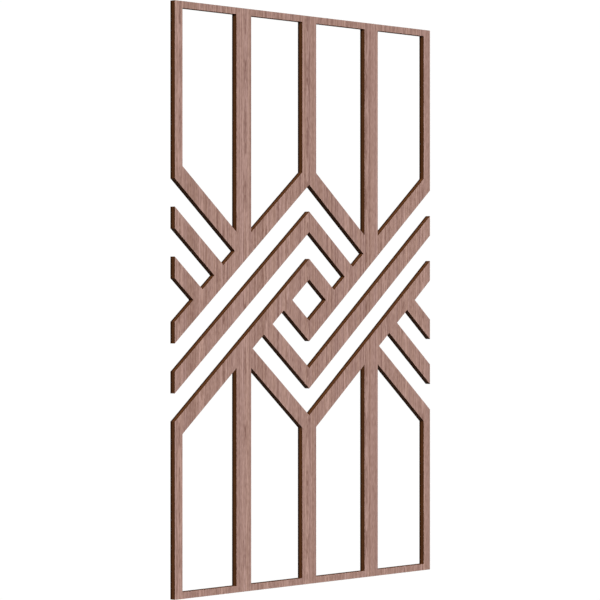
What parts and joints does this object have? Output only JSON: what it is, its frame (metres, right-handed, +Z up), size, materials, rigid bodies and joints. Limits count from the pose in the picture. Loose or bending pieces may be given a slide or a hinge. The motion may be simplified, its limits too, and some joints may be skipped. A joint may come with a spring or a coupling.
{
  "type": "fretwork screen panel",
  "caption": "Flat openwork panel cut from one sheet of wood: upright windows above and below a zigzag band of slanting slats, fixed by its back over a door, window or facade opening.",
  "frame": {"origin": "on the back face, half-way across the panel and half-way up its top rail", "axes": "+Z up along the height, +Y out of the back into what the panel is fixed to, +X to the right as seen from the front"},
  "size_m": [0.3906, 0.0063, 0.5937],
  "materials": {
    "wood": "bare walnut veneer, sanded and unpolished, with upright grain and dark cut edges"
  },
  "bodies": {
    "root": {"fretwork_screen": "wood"}
  },
  "joints": []
}
